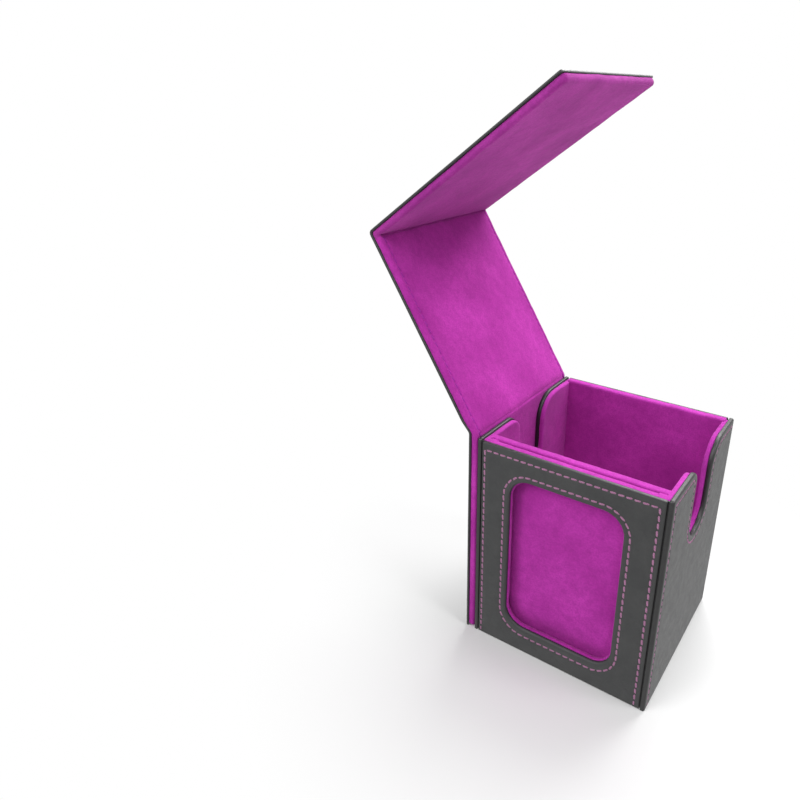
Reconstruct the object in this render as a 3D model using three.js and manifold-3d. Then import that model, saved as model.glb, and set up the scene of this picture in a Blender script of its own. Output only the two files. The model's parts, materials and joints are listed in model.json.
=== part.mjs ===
// Card storage box, in millimetres with +Z up: an upright box in black leather and purple suede, with a windowed
// display slot in front, a thumb notch in each side, and a cover that wraps over the top and down the right side.
// The origin is on the floor under the middle of the box. X is across the front, Y goes from front to back.

import * as THREE from 'three';
import { mergeVertices } from 'three/addons/utils/BufferGeometryUtils.js';
import Module from 'manifold-3d';

const wasm = await Module();
wasm.setup();

// Box outside
const boxWidth = 83;
const boxDepth = 81;
const boxHeight = 100;

// Leather panels, each laminated to its stiffener
const sideShell = 2;
const frontShell = 1.6;
const backShell = 1.2;
const bottomShell = 1.2;
const cornerGroove = 0.5; // between the front or back panel and the side panels
const panelCorner = 1.5; // radius of the panels' upper corners

// Suede-covered boards inside the leather panels
const sideLining = 2.2;
const frontLining = 2.9;
const backLining = 3.3;
const innerWall = 3.5;
const bottomBoard = 2.5;
const bottomSuede = 0.8;
const suede = 0.6; // the suede alone
const bond = 0.3; // glue line between layers
const rimDrop = 0.8; // every other rim lies this far below the side panels' rim

// Display slot and window
const cardSlot = 1;
const spacerWidth = 3;
const spacerDrop = 1.5; // below the slot's rim
const windowSideBorder = 14; // front panel beside the window
const windowHeadBorder = 12.7; // front panel above the window
const windowSill = 12.5; // above the floor
const windowRadius = 9;
const windowStep = 0.3; // suede showing inside the leather's edge

// Thumb notch in each side
const notchWidth = 22;
const notchDepth = 36; // below the rim
const notchShift = -0.5; // along Y from the box's middle
const frontEarRadius = 6.5;
const backEarRadius = 12;

// Cover
const coverLeather = 0.9;
const coverPad = 2.7; // board and suede together
const coverOverhang = 0.6; // past the box's front and back
const coverEndRadius = 1.5; // free corners of the flap and of the glued panel
const padSetback = 0.3; // pads inside the leather's front and back edges
const padHem = 0.8; // pads inside the leather's lower edges
const lidClearance = 0.3; // closed lid above the side panels' rim
const flapClearance = 0.4; // closed flap beside the right side panel
const flapFloorGap = 0.9;
const boardSetback = 5; // boards back from the pads' ends at the bends

// Bends. Each one turns on the upright panel's outer face.
const bendDepth = 1.6; // below the closed lid's outer face
const bendEase = 0.5; // panels end this far from the closed bends' inner corners
const hingeGap = 0.9; // between the hinge strip and the lid, which turns past its end
const foldRadius = 2.2; // of the leather's outer face where the lid and the flap meet
const lidOpening = 122.7; // degrees from closed
const flapOpening = 3.5; // degrees from its closed right angle

// Magnets
const magnetDiameter = 10;
const magnetThickness = 1;
const magnetSpacing = 40; // front to back
const magnetHeight = 14; // above the floor when closed

// Boolean cuts run this far past the faces they open
const overrun = 1;
const arcSteps = 6; // half the number of sides on each corner's arc

// Places worked out from the sizes, from outside to inside
const sideOut = boxWidth / 2;
const sideIn = sideOut - sideShell;
const liningIn = sideIn - sideLining;
const panelHalfWidth = sideIn - cornerGroove;
const frontOut = -boxDepth / 2;
const frontIn = frontOut + frontShell;
const slotFront = frontIn + frontLining;
const slotBack = slotFront + cardSlot;
const compartmentFront = slotBack + innerWall;
const backOut = boxDepth / 2;
const backIn = backOut - backShell;
const compartmentBack = backIn - backLining;
const boardTop = bottomShell + bottomBoard;
const floorTop = boardTop + bottomSuede;
const lowRim = boxHeight - rimDrop;
const boardInset = suede + bond;
const notchMiddle = notchShift;
const notchFloor = boxHeight - notchDepth;
const windowHalfWidth = panelHalfWidth - windowSideBorder;
const windowTop = lowRim - windowHeadBorder;

const coverThickness = coverLeather + bond + coverPad;
const coverHalfDepth = boxDepth / 2 + coverOverhang;
const padHalfDepth = coverHalfDepth - padSetback;
const coverLeft = -sideOut - coverThickness;
const lidUnder = boxHeight + lidClearance;
const lidTop = lidUnder + coverThickness;
const flapIn = sideOut + flapClearance;
const coverRight = flapIn + coverThickness;
const hinge = new THREE.Vector2(coverLeft, lidTop - bendDepth);
const fold = new THREE.Vector2(coverRight, lidTop - bendDepth);
const panelTop = lidUnder - bendEase;
const lidStart = -sideOut + bendEase;
const lidEnd = flapIn - bendEase;
const lidLeatherUnder = lidTop - coverLeather;

// Materials
function material(color, roughness, metalness = 0) {
  return new THREE.MeshStandardMaterial({ color, roughness, metalness });
}
const leather = () => material(0x3b3c3c, 0.6);
const purpleSuede = () => material(0xa8309a, 1);
const greyboard = () => material(0x8d877c, 0.95);
const steel = () => material(0xb9bcc0, 0.3, 1);

// A geometry as a solid that can be cut, and back again
function solidOf(geometry) {
  const bare = geometry.clone();
  bare.deleteAttribute('normal');
  bare.deleteAttribute('uv');
  const merged = mergeVertices(bare);
  return new wasm.Manifold(new wasm.Mesh({
    numProp: 3,
    vertProperties: new Float32Array(merged.attributes.position.array),
    triVerts: new Uint32Array(merged.index.array),
  }));
}

function geometryOf(solid) {
  const mesh = solid.getMesh();
  const geometry = new THREE.BufferGeometry();
  geometry.setAttribute('position', new THREE.BufferAttribute(mesh.vertProperties, 3));
  geometry.setIndex(new THREE.BufferAttribute(mesh.triVerts, 1));
  geometry.computeVertexNormals();
  return geometry;
}

// A slab of an outline, from one height to another above the outline's plane
function slab(outline, from, to) {
  const geometry = new THREE.ExtrudeGeometry(outline, {
    depth: to - from,
    bevelEnabled: false,
    curveSegments: arcSteps,
  });
  return geometry.translate(0, 0, from);
}

function cut(geometry, tool) {
  return geometryOf(solidOf(geometry).subtract(solidOf(tool)));
}

// Outlines. Side outlines are drawn in (Y, Z), front outlines in (X, Z) and floor outlines in (X, Y).
function rectangle(left, bottom, right, top) {
  const shape = new THREE.Shape();
  shape.moveTo(left, bottom);
  shape.lineTo(right, bottom);
  shape.lineTo(right, top);
  shape.lineTo(left, top);
  shape.closePath();
  return shape;
}

function roundedRectangle(left, bottom, right, top, radius) {
  const path = new THREE.Path();
  path.moveTo(left + radius, bottom);
  path.lineTo(right - radius, bottom);
  path.absarc(right - radius, bottom + radius, radius, -Math.PI / 2, 0, false);
  path.lineTo(right, top - radius);
  path.absarc(right - radius, top - radius, radius, 0, Math.PI / 2, false);
  path.lineTo(left + radius, top);
  path.absarc(left + radius, top - radius, radius, Math.PI / 2, Math.PI, false);
  path.lineTo(left, bottom + radius);
  path.absarc(left + radius, bottom + radius, radius, Math.PI, 1.5 * Math.PI, false);
  path.closePath();
  return path;
}

// A panel with one square end and one end with round corners, which may be the upper or the lower one
function roundEnded(left, right, squareEnd, roundEnd, radius) {
  const cornerStart = roundEnd + Math.sign(squareEnd - roundEnd) * radius;
  const shape = new THREE.Shape();
  shape.moveTo(left, squareEnd);
  shape.lineTo(right, squareEnd);
  shape.lineTo(right, cornerStart);
  shape.quadraticCurveTo(right, roundEnd, right - radius, roundEnd);
  shape.lineTo(left + radius, roundEnd);
  shape.quadraticCurveTo(left, roundEnd, left, cornerStart);
  shape.closePath();
  return shape;
}

// A side wall between two Y places, with its notch grown by an inset and its rim lowered by it
function notchedSide(front, bottom, back, rim, inset, cornerRadius) {
  const top = rim - inset;
  const half = notchWidth / 2 + inset;
  const earFront = frontEarRadius - inset;
  const earBack = backEarRadius - inset;
  const notchFront = notchMiddle - half;
  const notchBack = notchMiddle + half;
  const shape = new THREE.Shape();
  shape.moveTo(front, bottom);
  shape.lineTo(back, bottom);
  shape.lineTo(back, top - cornerRadius);
  shape.absarc(back - cornerRadius, top - cornerRadius, cornerRadius, 0, Math.PI / 2, false);
  shape.lineTo(notchBack + earBack, top);
  shape.absarc(notchBack + earBack, top - earBack, earBack, Math.PI / 2, Math.PI, false);
  shape.lineTo(notchBack, notchFloor - inset + half);
  shape.absarc(notchMiddle, notchFloor - inset + half, half, 0, -Math.PI, true);
  shape.lineTo(notchFront, top - earFront);
  shape.absarc(notchFront - earFront, top - earFront, earFront, 0, Math.PI / 2, false);
  shape.lineTo(front + cornerRadius, top);
  shape.absarc(front + cornerRadius, top - cornerRadius, cornerRadius, Math.PI / 2, Math.PI, false);
  shape.closePath();
  return shape;
}

// The window's edge, grown by a margin
function windowEdge(margin) {
  return roundedRectangle(
    -windowHalfWidth - margin,
    windowSill - margin,
    windowHalfWidth + margin,
    windowTop + margin,
    windowRadius + margin,
  );
}

function withHoles(shape, ...holes) {
  shape.holes.push(...holes);
  return shape;
}

function circle(u, v, radius) {
  const path = new THREE.Path();
  path.absarc(u, v, radius, 0, 2 * Math.PI, false);
  return path;
}

// A mesh whose outline lies in the floor plane, or is stood up facing the front or the side
const stand = {
  flat: [0, 0, 0],
  front: [Math.PI / 2, 0, 0], // outline (X, Z), built up towards the front
  side: [Math.PI / 2, Math.PI / 2, 0], // outline (Y, Z), built up towards the right
};

function piece(name, geometry, look, standing, place = [0, 0, 0]) {
  const mesh = new THREE.Mesh(geometry, look);
  mesh.name = name;
  mesh.rotation.set(...stand[standing]);
  mesh.position.set(...place);
  return mesh;
}

// Front frame, display slot and the wall behind it
function frontWall() {
  const leatherOutline = withHoles(
    roundEnded(-panelHalfWidth, panelHalfWidth, 0, lowRim, panelCorner),
    windowEdge(0),
  );
  const lining = withHoles(rectangle(-liningIn, floorTop, liningIn, lowRim), windowEdge(-windowStep));
  const pocket = withHoles(
    rectangle(-liningIn - overrun, floorTop - overrun, liningIn + overrun, lowRim - suede),
    windowEdge(suede - windowStep),
  );
  const board = withHoles(
    rectangle(-liningIn, floorTop, liningIn, lowRim - boardInset),
    windowEdge(boardInset - windowStep),
  );
  const wrap = cut(slab(lining, 0, frontLining), slab(pocket, suede, frontLining + overrun));
  const wall = rectangle(-liningIn, floorTop, liningIn, lowRim);
  const wallCavity = rectangle(-liningIn - overrun, floorTop - overrun, liningIn + overrun, lowRim - suede);
  const wallWrap = cut(slab(wall, 0, innerWall), slab(wallCavity, suede, innerWall - suede));
  const wallBoard = rectangle(-liningIn, floorTop, liningIn, lowRim - boardInset);
  const spacerTop = lowRim - spacerDrop;
  const leftSpacer = rectangle(-liningIn, floorTop, -liningIn + spacerWidth, spacerTop);
  const rightSpacer = rectangle(liningIn - spacerWidth, floorTop, liningIn, spacerTop);
  return [
    piece('front_leather', slab(leatherOutline, 0, frontShell), leather(), 'front', [0, frontIn, 0]),
    piece('front_board', slab(board, boardInset, frontLining), greyboard(), 'front', [0, slotFront, 0]),
    piece('front_suede', wrap, purpleSuede(), 'front', [0, slotFront, 0]),
    piece('slot_spacer_left', slab(leftSpacer, 0, cardSlot), greyboard(), 'front', [0, slotBack, 0]),
    piece('slot_spacer_right', slab(rightSpacer, 0, cardSlot), greyboard(), 'front', [0, slotBack, 0]),
    piece('inner_front_board', slab(wallBoard, boardInset, innerWall - boardInset), greyboard(), 'front',
      [0, compartmentFront, 0]),
    piece('inner_front_suede', wallWrap, purpleSuede(), 'front', [0, compartmentFront, 0]),
  ];
}

// Back panel, its board and the suede over the board's face and rim
function backWall() {
  const leatherOutline = roundEnded(-panelHalfWidth, panelHalfWidth, 0, lowRim, panelCorner);
  const lining = rectangle(-liningIn, floorTop, liningIn, lowRim);
  const pocket = rectangle(-liningIn - overrun, floorTop - overrun, liningIn + overrun, lowRim - suede);
  const board = rectangle(-liningIn, floorTop, liningIn, lowRim - boardInset);
  const wrap = cut(slab(lining, 0, backLining), slab(pocket, -overrun, backLining - suede));
  return [
    piece('back_leather', slab(leatherOutline, 0, backShell), leather(), 'front', [0, backOut, 0]),
    piece('back_board', slab(board, 0, backLining - boardInset), greyboard(), 'front', [0, backIn, 0]),
    piece('back_suede', wrap, purpleSuede(), 'front', [0, backIn, 0]),
  ];
}

function bottom() {
  const under = rectangle(-sideIn, frontIn, sideIn, backIn);
  const inside = rectangle(-liningIn, frontIn, liningIn, backIn);
  return [
    piece('bottom_leather', slab(under, 0, bottomShell), leather(), 'flat'),
    piece('bottom_board', slab(under, bottomShell, boardTop), greyboard(), 'flat'),
    piece('bottom_suede', slab(inside, boardTop, floorTop), purpleSuede(), 'flat'),
  ];
}

// The two magnets' places along Y
const magnetPlaces = { front: -magnetSpacing / 2, back: magnetSpacing / 2 };

function magnetHoles(z) {
  return Object.values(magnetPlaces).map((y) => circle(y, z, magnetDiameter / 2 + bond));
}

function magnets(prefix, x, z) {
  return Object.entries(magnetPlaces).map(([end, y]) => {
    const disc = new THREE.CylinderGeometry(magnetDiameter / 2, magnetDiameter / 2, magnetThickness, 4 * arcSteps);
    const mesh = new THREE.Mesh(disc, steel());
    mesh.name = `${prefix}_magnet_${end}`;
    mesh.rotation.z = Math.PI / 2;
    mesh.position.set(x, y, z);
    return mesh;
  });
}

// One side wall: the notched leather panel outside, and the suede-wrapped board inside it.
// The right wall's layers run outwards from its suede, and the left wall's run the other way.
function sideWall(name, isRight) {
  const shell = notchedSide(frontOut, 0, backOut, boxHeight, 0, panelCorner);
  const lining = notchedSide(frontIn, boardTop, backIn, lowRim, 0, panelCorner);
  const pocket = notchedSide(frontIn - overrun, boardTop - overrun, backIn + overrun, lowRim, suede, panelCorner);
  const board = notchedSide(frontIn, boardTop, backIn, lowRim, boardInset, panelCorner);
  if (isRight) {
    board.holes.push(...magnetHoles(magnetHeight));
  }
  const block = slab(lining, 0, sideLining);
  const wrap = isRight
    ? cut(block, slab(pocket, suede, sideLining + overrun))
    : cut(block, slab(pocket, -overrun, sideLining - suede));
  const core = isRight ? slab(board, boardInset, sideLining) : slab(board, 0, sideLining - boardInset);
  const shellPlace = [isRight ? sideIn : -sideOut, 0, 0];
  const liningPlace = [isRight ? liningIn : -sideIn, 0, 0];
  return [
    piece(`${name}_leather`, slab(shell, 0, sideShell), leather(), 'side', shellPlace),
    piece(`${name}_board`, core, greyboard(), 'side', liningPlace),
    piece(`${name}_suede`, wrap, purpleSuede(), 'side', liningPlace),
  ];
}

// A pad's pocket and the board in it, both short of the pad's edges and further short of its bends
function padOutlines(left, bottom, right, top, bends) {
  const margin = (edge) => (bends.includes(edge) ? boardSetback : boardInset);
  const inside = (slack) => rectangle(
    left + margin('left') - slack,
    bottom + margin('bottom') - slack,
    right - margin('right') + slack,
    top - margin('top') + slack,
  );
  return { pad: rectangle(left, bottom, right, top), pocket: inside(bond), board: inside(0) };
}

// The cover's panel glued to the box's left side. Its pocket opens towards the leather.
function coverSide() {
  const leatherOutline = roundEnded(-coverHalfDepth, coverHalfDepth, panelTop, 0, coverEndRadius);
  const { pad, pocket, board } = padOutlines(-padHalfDepth, padHem, padHalfDepth, panelTop, ['top']);
  const wrap = cut(slab(pad, 0, coverPad), slab(pocket, -overrun, coverPad - suede));
  const padPlace = [-sideOut - coverPad, 0, 0];
  return [
    piece('cover_side_leather', slab(leatherOutline, 0, coverLeather), leather(), 'side', [coverLeft, 0, 0]),
    piece('cover_side_board', slab(board, 0, coverPad - boardInset), greyboard(), 'side', padPlace),
    piece('cover_side_suede', wrap, purpleSuede(), 'side', padPlace),
  ];
}

// A bend between two straight stretches, along the leather's outer face, as near to an arc as its ends allow
function bendPath(start, startWay, end, endWay) {
  const turn = startWay.angleTo(endWay);
  const reach = start.distanceTo(end) * (4 / 3) * Math.tan(turn / 4) / (2 * Math.sin(turn / 2));
  const leave = startWay.clone().multiplyScalar(reach).add(start);
  const arrive = endWay.clone().multiplyScalar(-reach).add(end);
  return new THREE.CubicBezierCurve(start, leave, arrive, end);
}

// The section of one layer of a bend, between two depths to the right of its path
function layer(path, outerDepth, innerDepth) {
  const steps = Array.from({ length: 2 * arcSteps + 1 }, (_, step) => step / (2 * arcSteps));
  const face = (depth) => steps.map((t) => {
    const way = path.getTangent(t);
    return new THREE.Vector2(way.y, -way.x).multiplyScalar(depth).add(path.getPoint(t));
  });
  return new THREE.Shape([...face(outerDepth), ...face(innerDepth).reverse()]);
}

function strips(name, leatherSection, suedeSection) {
  return [
    piece(`${name}_leather`, slab(leatherSection, -coverHalfDepth, coverHalfDepth), leather(), 'front'),
    piece(`${name}_suede`, slab(suedeSection, -padHalfDepth, padHalfDepth), purpleSuede(), 'front'),
  ];
}

function direction(degrees) {
  const angle = THREE.MathUtils.degToRad(degrees);
  return new THREE.Vector2(Math.cos(angle), Math.sin(angle));
}

// The hinge strip runs from the glued panel to the open lid
function hingeStrips() {
  const start = new THREE.Vector2(coverLeft, panelTop + bond);
  const end = new THREE.Vector2(lidStart - hingeGap, lidTop);
  end.rotateAround(hinge, THREE.MathUtils.degToRad(lidOpening));
  const path = bendPath(start, direction(90), end, direction(lidOpening));
  return strips('hinge', layer(path, 0, coverLeather), layer(path, coverLeather + bond, coverThickness));
}

// Lid pieces in the closed position, with the hinge's axis as the origin of X and Z
function lidPanel() {
  const [x, z] = [-hinge.x, -hinge.y];
  const [start, end] = [x + lidStart, x + lidEnd];
  const leatherOutline = rectangle(start, -coverHalfDepth, end, coverHalfDepth);
  const { pad, pocket, board } = padOutlines(start, -padHalfDepth, end, padHalfDepth, ['left', 'right']);
  const wrap = cut(slab(pad, 0, coverPad), slab(pocket, suede, coverPad + overrun));
  return [
    piece('lid_leather', slab(leatherOutline, 0, coverLeather), leather(), 'flat', [0, 0, z + lidLeatherUnder]),
    piece('lid_board', slab(board, boardInset, coverPad), greyboard(), 'flat', [0, 0, z + lidUnder]),
    piece('lid_suede', wrap, purpleSuede(), 'flat', [0, 0, z + lidUnder]),
  ];
}

// The section of one layer of the closed fold, between two depths under the leather's outer face.
// A face that lies deeper than the fold's radius has a sharp corner.
function foldLayer(outerDepth, innerDepth) {
  const start = lidEnd + bond - hinge.x;
  const end = panelTop + bond - hinge.y;
  const corner = (depth) => {
    const radius = Math.max(foldRadius - depth, 0);
    const [right, top] = [coverRight - depth - hinge.x, lidTop - depth - hinge.y];
    return { radius, right, top, turnX: right - radius, turnZ: top - radius };
  };
  const outer = corner(outerDepth);
  const inner = corner(innerDepth);
  const shape = new THREE.Shape();
  shape.moveTo(start, outer.top);
  shape.lineTo(outer.turnX, outer.top);
  shape.absarc(outer.turnX, outer.turnZ, outer.radius, Math.PI / 2, 0, true);
  shape.lineTo(outer.right, end);
  shape.lineTo(inner.right, end);
  shape.lineTo(inner.right, inner.turnZ);
  if (inner.radius > 0) {
    shape.absarc(inner.turnX, inner.turnZ, inner.radius, 0, Math.PI / 2, false);
  }
  shape.lineTo(start, inner.top);
  shape.closePath();
  return shape;
}

// The fold's strip rides on the lid and keeps its closed shape, and the flap turns away from its end
function foldStrips() {
  return strips('fold', foldLayer(0, coverLeather), foldLayer(coverLeather + bond, coverThickness));
}

// Flap pieces in the closed position, hanging down with the fold's axis as the origin of X and Z
function flapPanel() {
  const [x, z] = [-fold.x, -fold.y];
  const top = z + panelTop;
  const bottomEdge = z + flapFloorGap;
  const leatherOutline = roundEnded(-coverHalfDepth, coverHalfDepth, top, bottomEdge, coverEndRadius);
  const { pad, pocket, board } = padOutlines(-padHalfDepth, bottomEdge + padHem, padHalfDepth, top, ['top']);
  board.holes.push(...magnetHoles(z + magnetHeight));
  const wrap = cut(slab(pad, 0, coverPad), slab(pocket, suede, coverPad + overrun));
  const magnetX = x + flapIn + (boardInset + coverPad) / 2;
  return [
    piece('flap_leather', slab(leatherOutline, 0, coverLeather), leather(), 'side',
      [x + coverRight - coverLeather, 0, 0]),
    piece('flap_board', slab(board, boardInset, coverPad), greyboard(), 'side', [x + flapIn, 0, 0]),
    piece('flap_suede', wrap, purpleSuede(), 'side', [x + flapIn, 0, 0]),
    ...magnets('flap', magnetX, z + magnetHeight),
  ];
}

// The flap hangs on the lid, and the lid on the box
const flap = new THREE.Group();
flap.position.set(fold.x - hinge.x, 0, fold.y - hinge.y);
flap.rotation.y = -THREE.MathUtils.degToRad(flapOpening);
flap.add(...flapPanel());

const lid = new THREE.Group();
lid.position.set(hinge.x, 0, hinge.y);
lid.rotation.y = -THREE.MathUtils.degToRad(lidOpening);
lid.add(...lidPanel(), ...foldStrips(), flap);

const wallMagnetX = sideIn - (sideLining - boardInset) / 2;
const box = new THREE.Group();
box.add(
  ...frontWall(),
  ...backWall(),
  ...bottom(),
  ...sideWall('left_side', false),
  ...sideWall('right_side', true),
  ...magnets('wall', wallMagnetX, magnetHeight),
  ...coverSide(),
  ...hingeStrips(),
  lid,
);

export default box;
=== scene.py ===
"""Looks of the card storage box: grained leather, napped suede and stitched seams round the CAD frame."""

import json
import math

import bmesh
import bpy
import numpy as np
from mathutils import Matrix, Vector, noise
from mathutils.geometry import delaunay_2d_cdt


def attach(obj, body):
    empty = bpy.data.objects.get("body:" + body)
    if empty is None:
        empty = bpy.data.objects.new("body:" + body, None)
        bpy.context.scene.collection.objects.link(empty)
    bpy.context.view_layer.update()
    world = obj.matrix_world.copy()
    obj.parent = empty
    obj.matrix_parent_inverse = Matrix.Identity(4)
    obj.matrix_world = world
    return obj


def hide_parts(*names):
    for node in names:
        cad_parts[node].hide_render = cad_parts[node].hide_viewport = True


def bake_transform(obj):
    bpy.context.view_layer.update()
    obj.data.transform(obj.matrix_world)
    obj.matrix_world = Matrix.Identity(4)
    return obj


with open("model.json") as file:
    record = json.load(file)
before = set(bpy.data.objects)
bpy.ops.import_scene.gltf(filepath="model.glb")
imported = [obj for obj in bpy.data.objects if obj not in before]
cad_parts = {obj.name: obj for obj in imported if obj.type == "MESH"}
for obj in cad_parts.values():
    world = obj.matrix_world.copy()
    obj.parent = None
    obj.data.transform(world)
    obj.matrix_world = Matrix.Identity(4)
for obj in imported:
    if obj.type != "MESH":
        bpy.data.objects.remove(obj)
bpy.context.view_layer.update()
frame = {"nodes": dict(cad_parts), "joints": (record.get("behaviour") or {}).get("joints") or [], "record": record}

MM = 0.001
JOINTS = {joint["name"]: joint for joint in frame["joints"]}


# Sizes of the frame, in millimetres

def extent(node, pose=Matrix()):
    """A CAD node's lowest and highest corners, seen in the frame that a pose turned."""
    back = pose.inverted()
    corners = np.array([back @ vertex.co for vertex in frame["nodes"][node].data.vertices]) / MM
    return Vector(corners.min(axis=0)), Vector(corners.max(axis=0))


def joint_turn(name, degrees):
    joint = JOINTS[name]
    place = Matrix.Translation(Vector(joint["pos_m"]))
    turn = Matrix.Rotation(math.radians(degrees), 4, Vector(joint["axis"]))
    return place @ turn @ place.inverted()


# The lid and the flap are measured closed, and these poses open them as they stand in the CAD frame
LID_POSE = joint_turn("lid_hinge", -JOINTS["lid_hinge"]["range_deg"][0])
FLAP_POSE = joint_turn("flap_hinge", -JOINTS["flap_hinge"]["range_deg"][0]) @ LID_POSE

FRONT_LOW, FRONT_HIGH = extent("front_leather")
BACK_LOW, BACK_HIGH = extent("back_leather")
PANEL_LOW, PANEL_HIGH = extent("cover_side_leather")
LID_LOW, LID_HIGH = extent("lid_leather", LID_POSE)
LID_PAD_LOW, LID_PAD_HIGH = extent("lid_suede", LID_POSE)
FLAP_LOW, FLAP_HIGH = extent("flap_leather", FLAP_POSE)
FLAP_PAD_LOW = extent("flap_suede", FLAP_POSE)[0]

# The window, drawn a little further left and narrower than the CAD part has it
WINDOW_HALF_WIDTH = 25
FRONT_SHIFT = 0.4
WINDOW_TRIM = 0.15
WINDOW_SILL = 12.5
WINDOW_TOP = 86.5
WINDOW_RADIUS = 9
WINDOW_LOW = Vector((-WINDOW_HALF_WIDTH - FRONT_SHIFT, WINDOW_SILL))
WINDOW_HIGH = Vector((WINDOW_HALF_WIDTH - FRONT_SHIFT - WINDOW_TRIM, WINDOW_TOP))

# The thumb notch, as the CAD part has it
NOTCH_MIDDLE = -0.5
NOTCH_HALF_WIDTH = 11
NOTCH_FLOOR = 64
FRONT_EAR = 6.5
BACK_EAR = 12

# Edges and corners
LEATHER_EDGE = 0.45
ROLLED_EDGE = 0.9
BOTTOM_EDGE = 0.3
COVER_EDGE = 0.4
WINDOW_EDGE = 1.1
WINDOW_RIM_FRONT = 0.35
WINDOW_RIM_BACK = 2.3
PAD_EDGE = 1.6
PAD_GLUED_EDGE = 0.25
RIM_EDGE = 0.75
LINING_FRONT_EDGE = 0.525
SLOT_WALL_EDGES = (RIM_EDGE, RIM_EDGE)
BACK_LINING_EDGES = (0.375, 0.9)
BOTTOM_LINING_EDGES = (0.2, 0.3)
RIM_ROWS = (2,)
SIDE_RIM_ROWS = (2, 3.5)
COVER_CORNER = 1.2
PAD_CORNER = 2.0
FRONT_CORNER = 0.6
SIDE_CORNER = 1.0
LEAST_RADIUS = 0.08
LEAST_EDGE = 0.02
END_CLEARANCE = 0.3
SHARP_CORNERS = (LEAST_RADIUS,) * 4
PANEL_CORNERS = (LEAST_RADIUS, LEAST_RADIUS, FRONT_CORNER, FRONT_CORNER)

# Small offsets of the layers from the CAD part and from each other
WINDOW_STEP = 0.45
SPACER_RISE = 0.9
SPACER_TUCK = 0.6
SPACER_EDGES = (0.5, 0.5)
LINING_TUCK = 1.2
LINING_DROP = 0.1
BACK_RISE = 0.75
BACK_PANEL_RISE = 0.5
PAD_HEM = 0.15
PAD_SETBACK = 0.35
LEATHER_GROWTH = 0.15
GLUE_GAP = 0.05
WALL_DIP = 0.62
WALL_DIP_HALF_WIDTH = 5.5
TAPE_SINK = 0.8
TAPE_HOLLOW = 0.15
TAPE_OVERLAP = 0.05
TAPE_DROP = 0.2

# Bends of the cover. Trims are how far its outside and its inside are rounded off.
CREASE_RISE = 1.6
CREASE_DEPTH = 0.35
CREASE_HALF_WIDTH = 1.1
CREASE_TRIMS = (0.9, 0.6)
CREASE_TURNS = 6
BOARD_LINE = 12
BOARD_LINE_DEPTH = 0.12
BOARD_LINE_HALF_WIDTH = 0.9
FOLD_TRIMS = (2.0, 0.2)
FOLD_TURNS = 8
FOLD_CREASE_DEPTH = 0.45
BEND_LEGS = 3

# Stitches and seams, each seam by its distance from the panel's edge
STITCH_PITCH = 3.2
STITCH_LENGTH = 2.9
STITCH_WIDTH = 0.92
STITCH_HEIGHT = 0.55
STITCH_PROUD = 0.09
STITCH_SINK = 0.3
STITCH_SLANT = 7
STITCH_TIP = 0.08
GROOVE_DEPTH = 0.28
GROOVE_HALF_WIDTH = 0.75
GROOVE_FADE_START = 0.5
GROOVE_FADE_LENGTH = 1.5
ROW_FOOT = 0.3
FRONT_SEAM_SIDE = 1.7
FRONT_SEAM_TOP = 3.5
FRONT_SEAM_TRIM = 0.2
SEAM_CORNER = 0.6
WINDOW_SEAM = 2.7
WINDOW_SEAM_BOTTOM = 4.0
SIDE_SEAM = 3.0
SIDE_SEAM_END = 1.2
SIDE_FLAT = 4.25
BACK_SEAM = 2.2
BACK_FLAT = 3.7
COVER_SEAM = 2.5
COVER_SEAM_BAND = 7
LINING_SEAM = 2.4

# Fineness of the meshes
SPACING = 1.6
BOTTOM_SPACING = 6
FILL_CLEARANCE = 0.6
CORNER_STEPS = 8
EDGE_STEPS = 4
EDGE_ROWS = 2 * EDGE_STEPS + 1
STITCH_RINGS = 6
STITCH_SIDES = 8
SHARP_ANGLE = 42
WELD_DISTANCE = 0.002

# Colours
SUEDE_DEEP = (0.435, 0.029, 0.35, 1)
SUEDE_BRIGHT = (0.60, 0.050, 0.485, 1)
# A darker copy of the suede for the flap: painted shade on the flap's underside
FLAP_SHADE_DEEP = (0.37, 0.030, 0.30, 1)
FLAP_SHADE_BRIGHT = (0.51, 0.053, 0.41, 1)
# A lighter copy of the suede for the linings' rims: a painted highlight on the rims
RIM_HIGHLIGHT_DEEP = (0.47, 0.038, 0.39, 1)
RIM_HIGHLIGHT_BRIGHT = (0.62, 0.060, 0.52, 1)
THREAD = (0.43, 0.20, 0.34, 1)
LINING_THREAD = (0.40, 0.028, 0.38, 1)

# The suede's unevenness, drawn from a fixed seed
NOISE_SEED = 7
noise.seed_set(NOISE_SEED)
WAVE_SIZE = 7.0
WAVE_HEIGHT = 0.13
RIPPLE_SIZE = 1.7
RIPPLE_HEIGHT = 0.05


# Outlines in a panel's own plane

def way(degrees):
    return Vector((math.cos(math.radians(degrees)), math.sin(math.radians(degrees))))


def line(start, end, count):
    """Points from the start towards the end, which is left out."""
    return [start.lerp(end, step / count) for step in range(count)]


def steps_along(length, spacing=SPACING):
    return max(1, round(length / spacing))


def chain(corners):
    """A closed outline from corners of (centre, radius, first angle, last angle, arc steps, line steps)."""
    points = []
    for corner, following in zip(corners, corners[1:] + corners[:1]):
        centre, radius, first, last, arc_steps, line_steps = corner
        for step in range(arc_steps):
            points.append(centre + radius * way(first + (last - first) * step / arc_steps))
        arrive = following[0] + following[1] * way(following[2])
        points += line(centre + radius * way(last), arrive, line_steps)
    return points


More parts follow.
